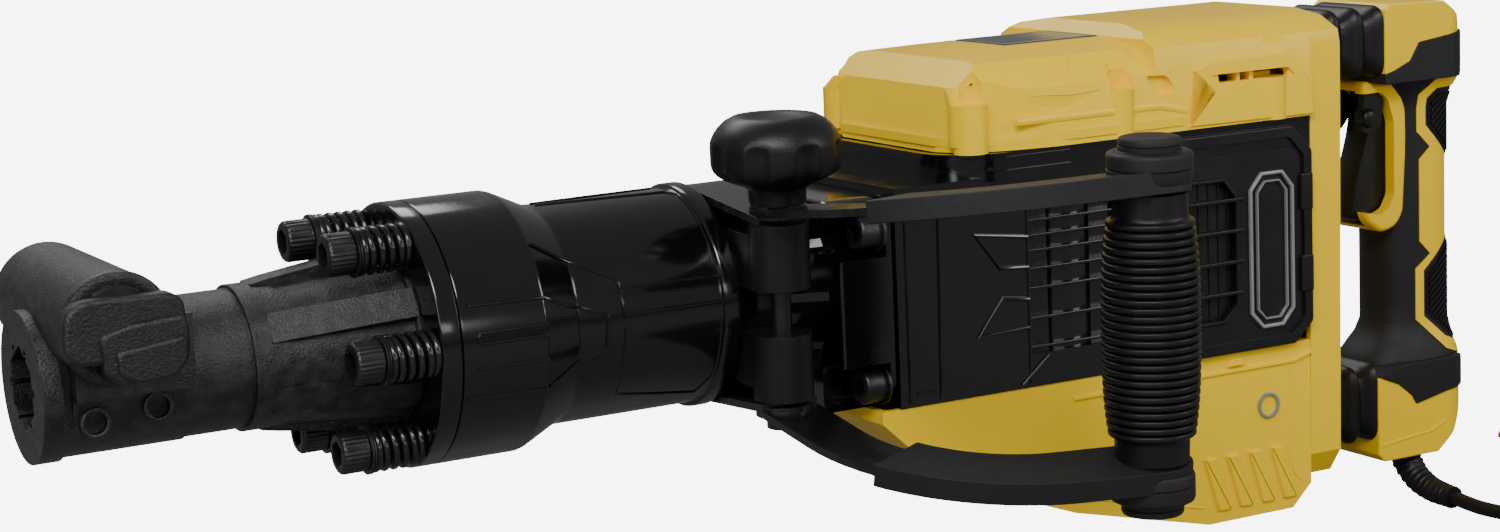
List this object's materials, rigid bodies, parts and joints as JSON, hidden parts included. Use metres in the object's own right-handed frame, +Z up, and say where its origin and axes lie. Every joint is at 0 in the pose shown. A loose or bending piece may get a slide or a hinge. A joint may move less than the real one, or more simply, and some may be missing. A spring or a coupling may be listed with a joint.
{
  "type": "demolition hammer",
  "caption": "Electric demolition hammer with a hexagonal tool socket, swivelling side handle, cushioned D-shaped rear handle with trigger, and a coiled mains cord.",
  "frame": {"origin": "centre of the tool socket's mouth, on the tool axis", "axes": "+X along the tool axis towards the rear handle, +Z up, +Y to the side away from the side handle"},
  "size_m": [0.838, 0.2782, 0.2642],
  "materials": {
    "cast_black": "rough cast iron under satin black paint",
    "gloss_black": "gloss black powder coat on a die casting",
    "yellow_plastic": "semi-gloss moulded nylon",
    "satin_black": "satin black moulded nylon with fine grain",
    "black_steel": "satin black paint on bent steel strip",
    "charcoal_rubber": "soft charcoal overmould, fine grain",
    "black_rubber": "moulded black rubber",
    "dark_steel": "black-oxide alloy steel",
    "bright_steel": "ground steel",
    "spring_steel": "oiled spring wire",
    "silver_frame": "satin silver",
    "blank_label": "blank black label film",
    "copper_winding": "enamelled copper and laminations",
    "brass": "brass brush tubes",
    "cord_rubber": "black rubber cord sheath"
  },
  "bodies": {
    "housing": {"barrel_housing": "gloss_black", "rear_flange_bolts": "dark_steel", "front_bolts": "dark_steel", "bolt_washers": "dark_steel", "front_springs": "spring_steel", "cylinder_sleeve": "bright_steel", "crank_case": "gloss_black", "crank_bearings": "bright_steel", "idler_bearings": "bright_steel", "motor_bearings": "bright_steel", "stator": "dark_steel", "brush_holders": "brass", "motor_housing": "yellow_plastic", "side_panel_near": "satin_black", "side_panel_far": "satin_black", "badge_frames": "silver_frame", "top_cover": "yellow_plastic", "cover_screws": "dark_steel", "rating_plate": "blank_label", "rear_cover": "yellow_plastic", "bellows_upper": "black_rubber", "bellows_lower": "black_rubber", "damper_springs": "spring_steel"},
    "nose": {"front_cover": "cast_black", "flange_ring": "gloss_black", "nose_seal": "black_rubber"},
    "retainer": {"retainer_shaft": "bright_steel", "retainer_lever": "cast_black"},
    "impact_bolt": {"impact_bolt": "bright_steel"},
    "striker": {"striker": "bright_steel"},
    "piston": {"piston": "bright_steel", "piston_rings": "dark_steel", "wrist_pin": "bright_steel"},
    "connecting_rod": {"connecting_rod": "bright_steel"},
    "crank": {"crankshaft": "bright_steel"},
    "idler": {"idler_gear": "bright_steel"},
    "motor": {"armature": "copper_winding", "motor_fan": "satin_black"},
    "side_handle": {"clamp_band": "black_steel", "clamp_blocks": "satin_black", "clamp_bolt": "bright_steel", "arm_sleeve_upper": "charcoal_rubber", "arm_sleeve_lower": "charcoal_rubber", "grip_rod": "bright_steel", "side_grip": "charcoal_rubber", "grip_caps": "charcoal_rubber"},
    "clamp_knob": {"clamp_knob": "satin_black"},
    "rear_handle": {"handle_shell_near": "yellow_plastic", "handle_shell_far": "yellow_plastic", "handle_overmould": "charcoal_rubber", "grip_pads": "satin_black", "trigger_surround": "yellow_plastic", "switch_body": "dark_steel", "cord_guard": "black_rubber", "cord": "cord_rubber", "cord_coil": "cord_rubber", "cord_tie": "charcoal_rubber", "plug": "cord_rubber"},
    "trigger": {"trigger": "satin_black"},
    "lock_button": {"lock_button": "satin_black"}
  },
  "joints": [
    {"name": "nose_cushion", "type": "slide", "parent": "housing", "child": "nose", "axis": [-1, 0, 0], "range_m": [0, 0.003], "stiffness_N_per_m": 60000, "springref_m": -0.004, "deforming": ["front_springs"]},
    {"name": "retainer_turn", "type": "hinge", "parent": "nose", "child": "retainer", "pos_m": [0.0265, 0, 0.028], "axis": [0, 1, 0], "range_deg": [0, 180]},
    {"name": "impact_bolt_slide", "type": "slide", "parent": "housing", "child": "impact_bolt", "axis": [1, 0, 0], "range_m": [-0.008, 0]},
    {"name": "striker_slide", "type": "slide", "parent": "housing", "child": "striker", "axis": [1, 0, 0], "range_m": [-0.005, 0.03]},
    {"name": "piston_slide", "type": "slide", "parent": "housing", "child": "piston", "axis": [1, 0, 0], "range_m": [0, 0.042]},
    {"name": "rod_swing", "type": "hinge", "parent": "piston", "child": "connecting_rod", "pos_m": [0.316, 0, 0], "axis": [0, 0, 1], "range_deg": [-9.5, 9.5]},
    {"name": "crank_spin", "type": "hinge", "parent": "housing", "child": "crank", "pos_m": [0.462, 0, 0], "axis": [0, 0, 1], "continuous": true},
    {"name": "idler_spin", "type": "hinge", "parent": "housing", "child": "idler", "pos_m": [0.523, 0, 0], "axis": [0, 0, 1], "continuous": true},
    {"name": "motor_spin", "type": "hinge", "parent": "housing", "child": "motor", "pos_m": [0.565, 0, 0], "axis": [0, 0, 1], "continuous": true},
    {"name": "side_handle_swing", "type": "hinge", "parent": "housing", "child": "side_handle", "pos_m": [0.3175, 0, 0], "axis": [1, 0, 0], "continuous": true},
    {"name": "clamp_knob_turn", "type": "hinge", "parent": "side_handle", "child": "clamp_knob", "pos_m": [0.3175, -0.06114, 0.05884], "axis": [0, -0.0192, 0.9998], "continuous": true},
    {"name": "handle_cushion", "type": "slide", "parent": "housing", "child": "rear_handle", "axis": [1, 0, 0], "range_m": [-0.004, 0.004], "stiffness_N_per_m": 30000, "deforming": ["bellows_upper", "bellows_lower", "damper_springs"]},
    {"name": "trigger_pull", "type": "hinge", "parent": "rear_handle", "child": "trigger", "pos_m": [0.705, 0, 0.05], "axis": [0, -1, 0], "range_deg": [0, 7], "stiffness_Nm_per_rad": 1.5, "springref_deg": -11.46},
    {"name": "lock_press", "type": "slide", "parent": "rear_handle", "child": "lock_button", "axis": [0, 1, 0], "range_m": [0, 0.0025], "stiffness_N_per_m": 400, "springref_m": -0.002}
  ],
  "couplings": [
    {"joint": "idler_spin", "follows": "crank_spin", "ratio": -3.0667},
    {"joint": "motor_spin", "follows": "crank_spin", "ratio": 7.6667}
  ]
}
